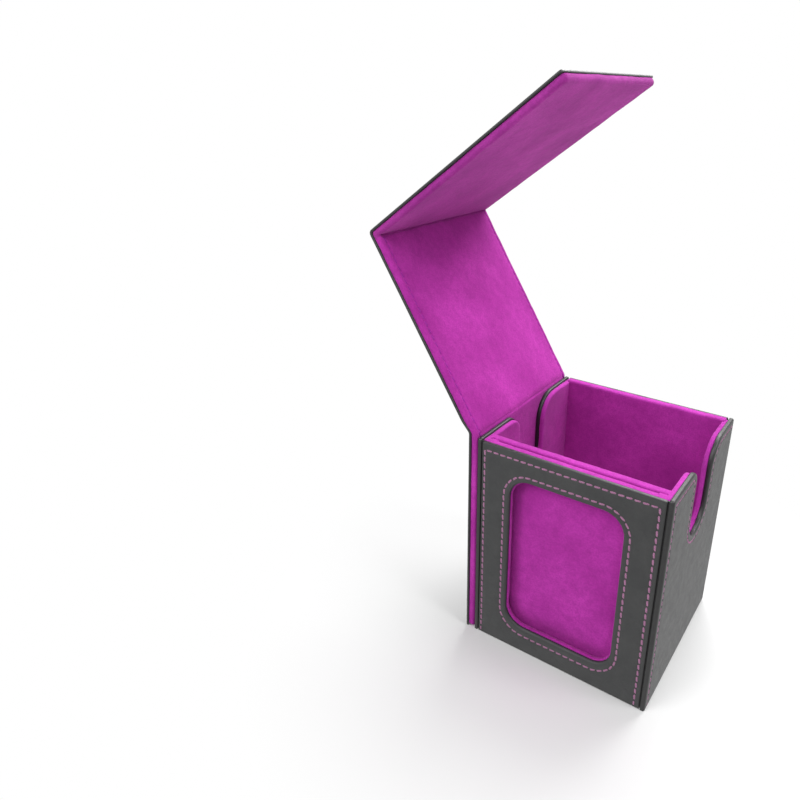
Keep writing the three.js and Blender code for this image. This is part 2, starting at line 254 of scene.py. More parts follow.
def rounded_rectangle(low, high, radii, counts=None, spacing=SPACING):
    """An outline as a function of its inset. Radii go anticlockwise from the lower left corner."""
    counts = counts or (steps_along(high.x - low.x, spacing), steps_along(high.y - low.y, spacing))

    def outline(inset):
        left, bottom, right, top = low.x + inset, low.y + inset, high.x - inset, high.y - inset
        corners = []
        for corner, (x, y) in enumerate(((left, bottom), (right, bottom), (right, top), (left, top))):
            radius = max(radii[corner] - inset, LEAST_RADIUS)
            inward = Vector((radius if x == left else -radius, radius if y == bottom else -radius))
            first = 180 + 90 * corner
            corners.append((Vector((x, y)) + inward, radius, first, first + 90, CORNER_STEPS,
                            counts[corner % 2]))
        return chain(corners)

    return outline


def notched_side(low, high):
    """A side wall's outline as a function of its inset, with the thumb notch in its rim."""
    front, bottom, back, rim = low.y, low.z, high.y, high.z

    def outline(inset):
        top = rim - inset
        corner = max(SIDE_CORNER - inset, LEAST_RADIUS)
        ear_front, ear_back = FRONT_EAR - inset, BACK_EAR - inset
        half = NOTCH_HALF_WIDTH + inset
        turns = [
            (front + inset, bottom + inset, 0, 0, 0, 0, back - front),
            (back - inset, bottom + inset, 0, 0, 0, 0, rim - bottom),
            (back - inset - corner, top - corner, corner, 0, 90, 1,
             back - NOTCH_MIDDLE - NOTCH_HALF_WIDTH - BACK_EAR),
            (NOTCH_MIDDLE + half + ear_back, top - ear_back, ear_back, 90, 180, 2,
             rim - NOTCH_FLOOR - BACK_EAR - NOTCH_HALF_WIDTH),
            (NOTCH_MIDDLE, NOTCH_FLOOR - inset + half, half, 0, -180, 4,
             rim - NOTCH_FLOOR - FRONT_EAR - NOTCH_HALF_WIDTH),
            (NOTCH_MIDDLE - half - ear_front, top - ear_front, ear_front, 0, 90, 2,
             NOTCH_MIDDLE - NOTCH_HALF_WIDTH - FRONT_EAR - front),
            (front + inset + corner, top - corner, corner, 90, 180, 1, rim - bottom),
        ]
        return chain([(Vector((y, z)), radius, start, end, quarter_steps * CORNER_STEPS, steps_along(length))
                      for y, z, radius, start, end, quarter_steps, length in turns])

    return outline


# Meshes

def edge_profile(thickness, back_radius, front_radius, insets=()):
    """Rows of inset and depth from the back face round the edge to the front face."""
    turns = [way(90 * step / EDGE_STEPS) for step in range(EDGE_STEPS + 1)]
    return (
        [(back_radius * (1 - turn.y), back_radius * (1 - turn.x)) for turn in turns]
        + [(front_radius * (1 - turn.x), thickness - front_radius * (1 - turn.y)) for turn in turns]
        + [(inset, thickness) for inset in insets]
    )


def row_faces(rows, around):
    """The numbers of the faces in some rows of a mesh that is built row by row."""
    return [row * around + step for row in rows for step in range(around)]


def rim_faces(outline):
    """The numbers of the faces round the edge of a plate."""
    return row_faces(range(EDGE_ROWS), len(outline(0)))


def quads(around, row, following, start=0):
    """The faces between two rows of points in a mesh that is built row by row."""
    here, there = start + row * around, start + following * around
    steps = [(step, (step + 1) % around) for step in range(around)]
    return [(here + step, here + ahead, there + ahead, there + step) for step, ahead in steps]


def raised(points, depth):
    """Points of a panel's own plane, put at a depth."""
    return [Vector((point.x, point.y, depth)) for point in points]


def profiled(outline, profile):
    """A loop for each row of a profile."""
    return [raised(outline(inset), depth) for inset, depth in profile]


def between(first, last, shares, depth):
    """Loops that lie some shares of the way from one loop to another."""
    return [raised([a.lerp(b, share) for a, b in zip(first, last)], depth) for share in shares]


def inside(points, outline):
    """Which points lie inside a closed outline."""
    hit = np.zeros(len(points), bool)
    x, y = points[:, 0], points[:, 1]
    for (ax, ay), (bx, by) in zip(outline, np.roll(outline, -1, axis=0)):
        crosses = (ay > y) != (by > y)
        if ay != by:
            hit ^= crosses & (x < (bx - ax) * (y - ay) / (by - ay) + ax)
    return hit


def fill(loop, spacing):
    """The points that fill a loop, and triangles between them and the loop's own points."""
    outline = np.array([(point.x, point.y) for point in loop])
    added = np.empty((0, 2))
    if spacing:
        low, high = outline.min(axis=0), outline.max(axis=0)
        columns = np.arange(low[0] + spacing / 2, high[0], spacing)
        rows = np.arange(low[1] + spacing / 2, high[1], spacing)
        grid = np.array([(x, y) for x in columns for y in rows])
        gaps = np.array([np.hypot(*(outline - point).T).min() for point in grid])
        added = grid[inside(grid, outline) & (gaps > spacing * FILL_CLEARANCE)]
    points = [Vector(point) for point in np.vstack((outline, added))]
    ring = list(range(len(outline)))
    faces, origins = delaunay_2d_cdt(points, [], [ring], 1, 1e-6)[2:4]
    return [Vector(point) for point in added], [[origins[corner][0] for corner in face] for face in faces]


def plate(outline, profile, relief=None, spacing=SPACING):
    """Points of a panel as (u, v, depth), and its faces. The relief lowers the front face."""
    around = len(outline(0))
    points = [point for loop in profiled(outline, profile) for point in loop]
    faces = [face for row in range(len(profile) - 1) for face in quads(around, row, row + 1)]
    for row, grid in ((0, None), (len(profile) - 1, spacing)):
        added, triangles = fill(points[row * around:(row + 1) * around], grid)
        start = len(points)
        points += raised(added, profile[row][1])
        faces += [
            [row * around + corner if corner < around else start + corner - around for corner in face]
            for face in triangles
        ]
    if relief:
        for point in points:
            if point.z > profile[-1][1] - RIM_EDGE:
                point.z -= relief(point.x, point.y)
    return points, faces


def tube(loops):
    """Loops of equal counts joined one to the next, and the last to the first."""
    rows = len(loops)
    faces = [face for row in range(rows) for face in quads(len(loops[0]), row, (row + 1) % rows)]
    return [point for loop in loops for point in loop], faces


def show(name, data):
    """Puts a named object in the scene."""
    item = bpy.data.objects.new(name, data)
    bpy.context.scene.collection.objects.link(item)
    return item


def uneven(point):
    """A suede point moved by the padding's soft unevenness."""
    wave = noise.noise_vector(point / WAVE_SIZE) * WAVE_HEIGHT
    ripple = noise.noise_vector(point / RIPPLE_SIZE) * RIPPLE_HEIGHT
    return point + wave + ripple


def make_piece(name, shape, look, stands_for=(), body="root", edges=()):
    """A named mesh in millimetres that rides on a CAD body and stands for CAD nodes. Suede is padded."""
    points, faces = shape
    is_soft = look.startswith("suede")
    if is_soft:
        points = [uneven(point) for point in points]
    mesh = bpy.data.meshes.new(name)
    mesh.from_pydata([point * MM for point in points], [], faces)
    for index in edges:
        mesh.polygons[index].material_index = 1
    work = bmesh.new()
    work.from_mesh(mesh)
    bmesh.ops.remove_doubles(work, verts=work.verts, dist=WELD_DISTANCE * MM)
    bmesh.ops.recalc_face_normals(work, faces=work.faces)
    work.to_mesh(mesh)
    work.free()
    mesh.shade_smooth()
    mesh.set_sharp_from_angle(angle=math.radians(SHARP_ANGLE))
    mesh.materials.append(LOOKS[look])
    # Edge faces take a second slot: the leather's blacker edge finish, or for suede a lighter copy that paints a
    # highlight on the rims
    if edges:
        mesh.materials.append(LOOKS["suede_rim_highlight" if is_soft else "leather_edge"])
    piece = show(name, mesh)
    if body:
        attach(piece, body)
    if stands_for:
        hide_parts(*stands_for)
    return piece


def facing(side, low, high):
    """Turns a panel's own (u, v, depth) into a point of the frame. The corners give where its back lies."""
    return {
        "front": lambda point: Vector((point.x, high.y - point.z, point.y)),
        "back": lambda point: Vector((point.x, low.y + point.z, point.y)),
        "right": lambda point: Vector((low.x + point.z, point.x, point.y)),
        "left": lambda point: Vector((high.x - point.z, point.x, point.y)),
        "up": lambda point: Vector((point.x, point.y, low.z + point.z)),
    }[side]


def placed(shape, place):
    points, faces = shape
    return [place(point) for point in points], faces


# Stitches and seams

def stitch(points, faces, middle, along, out):
    """One thread from hole to hole, bowed up in the middle, added to a mesh's points and faces."""
    across = out.cross(along).normalized()
    slant = way(STITCH_SLANT)
    along = along * slant.x + across * slant.y
    across = out.cross(along).normalized()
    start = len(points)
    for ring in range(STITCH_RINGS + 1):
        share = 2 * ring / STITCH_RINGS - 1
        height = STITCH_PROUD - STITCH_HEIGHT / 2 - STITCH_SINK * share ** 4
        centre = middle + along * (share * STITCH_LENGTH / 2) + out * height
        thin = math.sqrt(max(1 - share ** 6, STITCH_TIP))
        for side in range(STITCH_SIDES):
            turn = way(360 * side / STITCH_SIDES)
            points.append(centre + across * (turn.x * STITCH_WIDTH / 2 * thin)
                          + out * (turn.y * STITCH_HEIGHT / 2 * thin))
    for ring in range(STITCH_RINGS):
        faces += quads(STITCH_SIDES, ring, ring + 1, start)
    for first in (start, len(points) - STITCH_SIDES):
        faces.append([first + side for side in range(STITCH_SIDES)])


def stitch_row(path, closed=False):
    """Stitches along a path of (point, outward direction) pairs."""
    if closed:
        path = path + path[:1]
    lengths = np.cumsum([0] + [(b[0] - a[0]).length for a, b in zip(path, path[1:])])
    count = round(lengths[-1] / STITCH_PITCH)
    points, faces = [], []
    for step in range(count):
        distance = (step + 0.5) * lengths[-1] / count
        index = min(int(np.searchsorted(lengths, distance, side="right")) - 1, len(path) - 2)
        share = (distance - lengths[index]) / max(lengths[index + 1] - lengths[index], 1e-9)
        (here, out_here), (there, out_there) = path[index], path[index + 1]
        stitch(points, faces, here.lerp(there, share), (there - here).normalized(),
               out_here.lerp(out_there, share).normalized())
    return points, faces


def panel_row(path, depth, place, closed=False):
    """Stitches along a path on a panel's front face."""
    out = place(Vector((0, 0, 1))) - place(Vector((0, 0, 0)))
    return stitch_row([(place(point), out) for point in raised(path, depth)], closed)


def foot(point, floor):
    """Where a row of stitches ends, below a point and just above the panel's lower edge."""
    return Vector((point.x, floor + ROW_FOOT))


def joined(*shapes):
    points, faces = [], []
    for more_points, more_faces in shapes:
        start = len(points)
        points += more_points
        faces += [[start + corner for corner in face] for face in more_faces]
    return points, faces


def valley(distance, depth, half_width):
    """How far a surface is pulled down at a distance from the bottom of a soft valley."""
    share = min(abs(distance) / half_width, 1)
    return depth * (1 + math.cos(math.pi * share)) / 2


def groove(distance):
    """How far a seam pulls the surface down at a distance from its stitches."""
    return valley(distance, GROOVE_DEPTH, GROOVE_HALF_WIDTH)


GROOVE_OFFSETS = [GROOVE_HALF_WIDTH * share for share in (1, 0.66, 0.33, 0, -0.33, -0.66, -1)]


def above_floor(height):
    """Fades a seam's groove out where the seam runs off the panel's lower edge."""
    return min(max((height - GROOVE_FADE_START) / GROOVE_FADE_LENGTH, 0), 1)


def seamed_panel(name, node, outline, thickness, radii, seam, flat, strength, place):
    """A leather panel with painted edges and one sunk seam, whose groove has a strength at each point."""
    profile = edge_profile(thickness, *radii)
    seam_rows = range(len(profile), len(profile) + len(GROOVE_OFFSETS))
    profile += [(seam - offset, thickness) for offset in GROOVE_OFFSETS] + [(flat, thickness)]
    points, faces = plate(outline, profile)
    around = len(outline(0))
    for row, offset in zip(seam_rows, GROOVE_OFFSETS):
        for point in points[row * around:(row + 1) * around]:
            point.z -= groove(offset) * strength(point)
    make_piece(name, placed((points, faces), place), "leather", [node], edges=rim_faces(outline))


# Front

WINDOW_COUNTS = [steps_along(length) for length in WINDOW_HIGH - WINDOW_LOW]


def window_hole(outset):
    """The window's outline, grown by an outset."""
    return rounded_rectangle(WINDOW_LOW, WINDOW_HIGH, (WINDOW_RADIUS,) * 4, WINDOW_COUNTS)(-outset)


def front_leather():
    """The window frame's leather: rounded edges, a sunk seam round its edge and another round the window."""
    low, high = FRONT_LOW, FRONT_HIGH
    thickness = high.y - low.y
    outer = rounded_rectangle(low.xz, high.xz, PANEL_CORNERS, WINDOW_COUNTS)
    edge_seam = rounded_rectangle(
        low.xz + Vector((FRONT_SEAM_SIDE - FRONT_SHIFT, FRONT_SEAM_SIDE)),
        high.xz - Vector((FRONT_SEAM_SIDE + FRONT_SHIFT + FRONT_SEAM_TRIM, FRONT_SEAM_TOP)),
        (LEAST_RADIUS, LEAST_RADIUS, SEAM_CORNER, SEAM_CORNER), WINDOW_COUNTS)
    window_seam = rounded_rectangle(
        WINDOW_LOW - Vector((WINDOW_SEAM, WINDOW_SEAM_BOTTOM)),
        WINDOW_HIGH + Vector((WINDOW_SEAM, WINDOW_SEAM)),
        (WINDOW_RADIUS + WINDOW_SEAM,) * 4, WINDOW_COUNTS)
    loops = profiled(outer, edge_profile(thickness, LEATHER_EDGE / 2, LEATHER_EDGE))
    for offset in GROOVE_OFFSETS:
        loops.append(raised(edge_seam(-offset), thickness))
        for point in loops[-1]:
            point.z -= groove(offset) * above_floor(point.y - FRONT_SEAM_SIDE)
    outside, within = edge_seam(GROOVE_HALF_WIDTH), window_seam(-GROOVE_HALF_WIDTH)
    loops += between(outside, within, (0.25, 0.5, 0.75), thickness)
    loops += [raised(window_seam(-offset), thickness - groove(offset)) for offset in GROOVE_OFFSETS]
    window_start = len(loops)
    loops += profiled(window_hole, edge_profile(thickness, LEATHER_EDGE / 2, WINDOW_EDGE)[::-1])
    painted = [*range(EDGE_ROWS), *range(window_start + EDGE_STEPS, window_start + EDGE_ROWS)]
    place = facing("front", low, high)
    make_piece("front_panel_leather", placed(tube(loops), place), "leather", ["front_leather"],
               edges=row_faces(painted, len(loops[0])))

    across, upward = WINDOW_COUNTS
    first = across + 2 * CORNER_STEPS
    last = first + across + 2 * upward + 2 * CORNER_STEPS
    path = edge_seam(0)[first:last + 1]
    path = [foot(path[0], low.z), *path, foot(path[-1], low.z)]
    edge_row = panel_row(path, thickness, place)
    window_row = panel_row(window_seam(0), thickness, place, closed=True)
    make_piece("front_stitching", joined(edge_row, window_row), "thread")


def front_lining():
    """The suede round the slot's front board, showing as a thin rim inside the window."""
    low, high = tucked("front_suede")
    thickness = high.y - low.y
    outer = rounded_rectangle(low.xz, high.xz, SHARP_CORNERS, WINDOW_COUNTS)

    def hole(outset):
        return window_hole(outset - WINDOW_STEP)

    loops = profiled(outer, edge_profile(thickness, RIM_EDGE, LINING_FRONT_EDGE))
    loops += between(outer(RIM_EDGE), hole(WINDOW_RIM_FRONT), (0.33, 0.66), thickness)
    loops += profiled(hole, edge_profile(thickness, WINDOW_RIM_BACK, WINDOW_RIM_FRONT)[::-1])
    loops += between(outer(RIM_EDGE), hole(WINDOW_RIM_BACK), (0.66, 0.33), 0)
    # Its rim faces take the lighter suede copy, a painted highlight
    make_piece("window_lining", placed(tube(loops), facing("front", low, high)), "suede", ["front_suede"],
               edges=row_faces(range(EDGE_ROWS + 1), len(loops[0])))


def tucked(node):
    """A lining's corners, grown into the side linings to close its ends, and dropped a little at the rim."""
    low, high = extent(node)
    return low - Vector((LINING_TUCK, 0, 0)), high + Vector((LINING_TUCK, 0, -LINING_DROP))


def window_bulge(x, z):
    """The slot's padded wall bulges into the window and is pressed back round it."""
    across = abs(x + FRONT_SHIFT) - WINDOW_HALF_WIDTH + WINDOW_RADIUS
    upward = abs(z - (WINDOW_TOP + WINDOW_SILL) / 2) - (WINDOW_TOP - WINDOW_SILL) / 2 + WINDOW_RADIUS
    distance = math.hypot(max(across, 0), max(upward, 0)) + min(max(across, upward), 0) - WINDOW_RADIUS
    return valley(distance, WALL_DIP, WALL_DIP_HALF_WIDTH)


def rim_plate(name, node, side, low, high, radii, relief=None):
    """A suede-covered board with a soft rim, which faces the front or up."""
    if side == "up":
        outline, thickness = rounded_rectangle(low.xy, high.xy, SHARP_CORNERS), high.z - low.z
    else:
        outline, thickness = rounded_rectangle(low.xz, high.xz, SHARP_CORNERS), high.y - low.y
    shape = plate(outline, edge_profile(thickness, *radii, RIM_ROWS), relief)
    # The rim faces take the lighter suede copy, a painted highlight
    make_piece(name, placed(shape, facing(side, low, high)), "suede", [node], edges=rim_faces(outline))


def inner_walls():
    low, high = tucked("inner_front_suede")
    rim_plate("slot_wall_lining", "inner_front_suede", "front", low, high, SLOT_WALL_EDGES, window_bulge)
    low, high = tucked("back_suede")
    rim_plate("back_lining", "back_suede", "front", low, high + Vector((0, 0, BACK_RISE)), BACK_LINING_EDGES)
    low, high = extent("bottom_suede")
    rim_plate("bottom_lining", "bottom_suede", "up", low, high, BOTTOM_LINING_EDGES)
    for end in ("left", "right"):
        low, high = extent(f"slot_spacer_{end}")
        rim_plate(f"slot_end_{end}", f"slot_spacer_{end}", "front", low - Vector((0, SPACER_TUCK, 0)),
                  high + Vector((0, SPACER_TUCK, SPACER_RISE)), SPACER_EDGES)


# Sides, back and bottom

def side_wall(side, inward):
    """One side's notched leather panel, with a rolled edge and a sunk seam, and the suede inside it."""
    low, high = extent(f"{side}_side_leather")
    thickness = high.x - low.x
    outline = notched_side(low, high)
    reach = SIDE_SEAM + GROOVE_HALF_WIDTH + LEAST_RADIUS
    place = facing(side, low, high)

    def strength(point):
        is_stitched = point.x < high.y - reach or point.y > high.z - reach
        return above_floor(point.y - SIDE_SEAM) if is_stitched else 0

    seamed_panel(f"{side}_side_panel", f"{side}_side_leather", outline, thickness,
                 (LEATHER_EDGE, ROLLED_EDGE), SIDE_SEAM, SIDE_FLAT, strength, place)
    seam = outline(SIDE_SEAM)
    first = steps_along(high.y - low.y) + steps_along(high.z - low.z) + CORNER_STEPS
    path = [Vector((high.y - SIDE_SEAM_END, seam[first].y)), *seam[first:], foot(seam[0], low.z)]
    make_piece(f"{side}_side_stitching", panel_row(path, thickness, place), "thread")

    low, high = extent(f"{side}_side_suede")
    outline = notched_side(low, high)
    shape = plate(outline, edge_profile(high.x - low.x, LEATHER_EDGE, RIM_EDGE, SIDE_RIM_ROWS))
    # The lining's rim faces take the lighter suede copy, a painted highlight
    make_piece(f"{side}_side_lining", placed(shape, facing(inward, low, high)), "suede",
               [f"{side}_side_suede"], edges=rim_faces(outline))


def back_and_bottom():
    low, high = BACK_LOW, BACK_HIGH
    thickness = high.y - low.y
    outline = rounded_rectangle(low.xz, high.xz + Vector((0, BACK_PANEL_RISE)), PANEL_CORNERS)
    place = facing("back", low, high)
    seamed_panel("back_panel", "back_leather", outline, thickness, (LEATHER_EDGE / 2, LEATHER_EDGE),
                 BACK_SEAM, BACK_FLAT, lambda point: above_floor(point.y - FRONT_SEAM_SIDE), place)
    seam = outline(BACK_SEAM)
    first = CORNER_STEPS * 2 + steps_along(high.x - low.x)
    path = [foot(seam[first], low.z), *seam[first + 1:], foot(seam[0], low.z)]
    make_piece("back_stitching", panel_row(path, thickness, place), "thread")

    low, high = extent("bottom_leather")
    outline = rounded_rectangle(low.xy, high.xy, SHARP_CORNERS, spacing=BOTTOM_SPACING)
    profile = edge_profile(high.z - low.z, BOTTOM_EDGE, BOTTOM_EDGE, RIM_ROWS)
    shape = plate(outline, profile, spacing=BOTTOM_SPACING)
    make_piece("bottom_panel", placed(shape, facing("up", low, high)), "leather", ["bottom_leather"])


def groove_tapes():
    """The leather at the bottom of the grooves between the front or back panel and the side panels."""
    gap = (extent("right_side_leather")[0].x - FRONT_HIGH.x) / 2
    middle = FRONT_HIGH.x + gap
    half = gap + TAPE_OVERLAP
    heights = [FRONT_HIGH.z * step / CORNER_STEPS for step in range(CORNER_STEPS)]
    heights.append(FRONT_HIGH.z - TAPE_DROP)
    ends = {"front": (FRONT_LOW.y, FRONT_HIGH.y, 1), "back": (BACK_HIGH.y, BACK_LOW.y, -1)}
    for end, (outer_y, inner_y, inward) in ends.items():
        loop = [Vector((middle + half, inner_y)), Vector((middle - half, inner_y))]
        for step in range(EDGE_ROWS):
            across = step / EDGE_STEPS - 1
            sunk = TAPE_SINK + TAPE_HOLLOW * (1 - across ** 2)
            loop.append(Vector((middle + across * half, outer_y + inward * sunk)))
        around = len(loop)
        faces = [face for row in range(len(heights) - 1) for face in quads(around, row, row + 1)]
        faces += [[row * around + step for step in range(around)] for row in (0, len(heights) - 1)]
        for side, sign in (("left", -1), ("right", 1)):
            points = [Vector((sign * point.x, point.y, height)) for height in heights for point in loop]
            make_piece(f"{end}_{side}_groove_tape", (points, faces), "leather_edge")


# Cover. Stations run along it as pairs of points in (X, Z), one on the leather's outer face and one on the
# suede's inner face.

def at_rest(pose, x, z):
    point = pose @ (Vector((x, 0, z)) * MM) / MM
    return point.xz


def stations(outer_start, inner_start, outer_end, inner_end):
    count = steps_along((outer_end - outer_start).length)
    return [(outer_start.lerp(outer_end, step / count), inner_start.lerp(inner_end, step / count))
            for step in range(count + 1)]


def cornered(start, corner, end, trim, turns):
    """A bent line through a corner that is rounded over a trimmed length on both sides of it."""
    leave = corner + (start - corner).normalized() * trim
    arrive = corner + (end - corner).normalized() * trim
    points = line(start, leave, BEND_LEGS)
    for step in range(turns):
        share = step / turns
        points.append(leave.lerp(corner, share).lerp(corner.lerp(arrive, share), share))
    return points + line(arrive, end, BEND_LEGS) + [end]


def meeting(a, a_way, b, b_way):
    """Where two lines cross."""
    gap = b - a
    share = (gap.x * b_way.y - gap.y * b_way.x) / (a_way.x * b_way.y - a_way.y * b_way.x)
    return a + a_way * share


COVER_HALF_DEPTH = LID_HIGH.y
PAD_HALF_DEPTH = LID_PAD_HIGH.y - PAD_SETBACK
COVER_THICKNESS = LID_HIGH.z - LID_PAD_LOW.z
LEATHER_BACK = LID_HIGH.z - LID_LOW.z + LEATHER_GROWTH
PAD_TOP = LEATHER_BACK + GLUE_GAP
LID_WAY = (at_rest(LID_POSE, 1, 0) - at_rest(LID_POSE, 0, 0)).normalized()
FLAP_WAY = (at_rest(FLAP_POSE, 0, -1) - at_rest(FLAP_POSE, 0, 0)).normalized()
UP = Vector((0, 1))

PANEL_OUT, PANEL_IN = PANEL_LOW.x, PANEL_LOW.x + COVER_THICKNESS
PANEL_END_OUT = Vector((PANEL_OUT, PANEL_HIGH.z))
PANEL_END_IN = Vector((PANEL_IN, PANEL_HIGH.z))
LID_START_OUT = at_rest(LID_POSE, LID_LOW.x, LID_HIGH.z)
LID_START_IN = at_rest(LID_POSE, LID_LOW.x, LID_PAD_LOW.z)
LID_END_OUT = at_rest(LID_POSE, LID_HIGH.x, LID_HIGH.z)
LID_END_IN = at_rest(LID_POSE, LID_HIGH.x, LID_PAD_LOW.z)
FLAP_START_OUT = at_rest(FLAP_POSE, FLAP_HIGH.x, FLAP_HIGH.z)
FLAP_START_IN = at_rest(FLAP_POSE, FLAP_PAD_LOW.x, FLAP_HIGH.z)
FLAP_END_OUT = at_rest(FLAP_POSE, FLAP_HIGH.x, FLAP_LOW.z)
FLAP_END_IN = at_rest(FLAP_POSE, FLAP_PAD_LOW.x, FLAP_LOW.z)
FOLD_OUT = meeting(LID_END_OUT, LID_WAY, FLAP_START_OUT, FLAP_WAY)
FOLD_IN = meeting(LID_END_IN, LID_WAY, FLAP_START_IN, FLAP_WAY)
CREASE_OUT = Vector((PANEL_OUT, PANEL_HIGH.z + CREASE_RISE))
CREASE_IN = meeting(LID_START_IN, LID_WAY, Vector((PANEL_IN, 0)), UP)


def panel_stations():
    outer = cornered(PANEL_END_OUT, CREASE_OUT, LID_START_OUT, CREASE_TRIMS[0], CREASE_TURNS)
    inner = cornered(PANEL_END_IN, CREASE_IN, LID_START_IN, CREASE_TRIMS[1], CREASE_TURNS)
    straight = stations(Vector((PANEL_OUT, PANEL_LOW.z)), Vector((PANEL_IN, PANEL_LOW.z)), PANEL_END_OUT,
                        PANEL_END_IN)
    return straight + list(zip(outer, inner))[1:]


def flap_stations():
    outer = cornered(LID_END_OUT, FOLD_OUT, FLAP_START_OUT, FOLD_TRIMS[0], FOLD_TURNS)
    inner = cornered(LID_END_IN, FOLD_IN, FLAP_START_IN, FOLD_TRIMS[1], FOLD_TURNS)
    return list(zip(outer, inner)) + stations(FLAP_START_OUT, FLAP_START_IN, FLAP_END_OUT, FLAP_END_IN)[1:]


def columns(half_width, radius, seam):
    """Places across a strip: distances in from an edge, dense near the seam, and even steps between."""
    near_edge = [radius] + [seam - offset for offset in GROOVE_OFFSETS] + [seam + 2 * GROOVE_HALF_WIDTH]
    reach = half_width - COVER_SEAM_BAND
    count = steps_along(2 * reach)
    return near_edge, [-reach + 2 * reach * step / count for step in range(count + 1)]


def section(half_width, inset, near, far, near_radius, far_radius, seam):
    """Points (y, depth, face) round a strip: its near face, an edge, its far face and the other edge."""
    side = half_width - inset

    def face(depth, radius, which):
        near_edge, middle = columns(half_width, radius, seam)
        ends = [side - distance for distance in near_edge]
        return [(y, depth, which) for y in [-end for end in ends] + middle + ends[::-1]]

    def corner(sign, depth, radius, first, steps):
        turns = [way(first + 90 * step / EDGE_STEPS) for step in steps]
        return [(sign * (side - radius) + radius * turn.x, depth + radius * turn.y, 0) for turn in turns]

    leaving, arriving = range(1, EDGE_STEPS + 1), range(EDGE_STEPS)
    return (
        face(near, near_radius, -1)
        + corner(1, near + near_radius, near_radius, -90, leaving)
        + corner(1, far - far_radius, far_radius, 0, arriving)
        + face(far, far_radius, 1)[::-1]
        + corner(-1, far - far_radius, far_radius, 90, leaving)
        + corner(-1, near + near_radius, near_radius, 180, arriving)
    )


def cap(loop):
    """Quads across a strip's end, between the points of its two faces."""
    edge = 2 * EDGE_STEPS
    across = len(loop) // 2 - edge
    steps = range(-EDGE_STEPS, across + EDGE_STEPS - 1)

    def facing_point(step):
        return loop[(2 * across + edge - 1 - step) % len(loop)]

    return [(loop[step], loop[step + 1], facing_point(step + 1), facing_point(step)) for step in steps]


def free_end(line_stations, hem, corner, radius):
    """Stations with insets, of which the last ones round off a free end that stops short by a hem."""
    last_out, last_in = line_stations[-1]
    back = (line_stations[-2][0] - last_out).normalized()
    kept = [(outer, inner, 0, 0) for outer, inner in line_stations
            if (outer - last_out).length > hem + corner + END_CLEARANCE]
    for step in range(2 * EDGE_STEPS, -1, -1):
        turn = way(45 * step / EDGE_STEPS)
        distance = corner * (1 - turn.x)
        depth_inset = radius - math.sqrt(radius ** 2 - max(radius - distance, 0) ** 2)
        shift = back * (hem + distance)
        kept.append((last_out + shift, last_in + shift, corner * (1 - turn.y), depth_inset))
    return kept


def strip(line_stations, half_width, near, far, radii, seam, relief):
    """A layer of the cover between two depths. Stations are (outer, inner, width inset, depth inset)."""
    points, faces, edges = [], [], []
    for outer, inner, width_inset, far_inset in line_stations:
        across = (inner - outer) / COVER_THICKNESS
        near_inset = far_inset * radii[0] / radii[1]
        rounded = [max(radius - inset, LEAST_EDGE) for radius, inset in zip(radii, (near_inset, far_inset))]
        loop = section(half_width, width_inset, near + near_inset, far - far_inset, *rounded, seam)
        for y, depth, face in loop:
            spot = outer + across * (depth - face * relief(face, inner, y) if face else depth)
            points.append(Vector((spot.x, y, spot.y)))
    around = len(loop)
    half = around // 2
    for row in range(len(line_stations) - 1):
        is_rounded = line_stations[row + 1][3] > 0
        edges += [len(faces) + step for step in range(around)
                  if is_rounded or step % half >= half - EDGE_ROWS]
        faces += quads(around, row, row + 1)
    ends = cap(range(around)) + cap(range(len(points) - around, len(points)))
    edges += range(len(faces), len(faces) + len(ends))
    return (points, faces + ends), edges


def leather_relief(face, inner, y):
    """The seams near the cover's front and back edges, on its outer face."""
    return groove(COVER_HALF_DEPTH - COVER_SEAM - abs(y)) if face < 0 else 0


def bend_relief(face, inner, y):
    """The creases at the bends and the end of the lid's board under the suede."""
    if face < 0:
        return 0
    above_crease = (inner - CREASE_IN).dot(LID_WAY)
    along = above_crease if above_crease > 0 else inner.y - CREASE_IN.y
    return (
        valley(along, CREASE_DEPTH, CREASE_HALF_WIDTH)
        + valley(along - BOARD_LINE, BOARD_LINE_DEPTH, BOARD_LINE_HALF_WIDTH)
        + valley((inner - FOLD_IN).length, FOLD_CREASE_DEPTH, CREASE_HALF_WIDTH)
    )


def pad_relief(face, inner, y):
    """The bends' relief with the sunk seams beside the front and back edges."""
    return bend_relief(face, inner, y) + (groove(PAD_HALF_DEPTH - LINING_SEAM - abs(y)) if face > 0 else 0)


def blend_across(piece, before, after, bodies, direction):
    """Bakes a piece's placement into its mesh, without bending it. Its other arguments are not used."""
    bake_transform(piece)


CREASE = ([PANEL_END_OUT, PANEL_END_IN], [LID_START_OUT, LID_START_IN], ("root", "lid"), UP + LID_WAY)
FOLD = ([LID_END_OUT, LID_END_IN], [FLAP_START_OUT, FLAP_START_IN], ("lid", "flap"), LID_WAY + FLAP_WAY)


def cover_rows(line_stations, is_outside, reach):
    """Stitches along both long edges of the cover's outside or inside, between two stations."""
    rows = []
    for sign in (-1, 1):
        path = []
        for outer, inner in line_stations:
            spot, other = (outer, inner) if is_outside else (inner, outer)
            out = (spot - other).normalized()
            path.append((Vector((spot.x, sign * reach, spot.y)), Vector((out.x, 0, out.y))))
        rows.append(stitch_row(path))
    return joined(*rows)


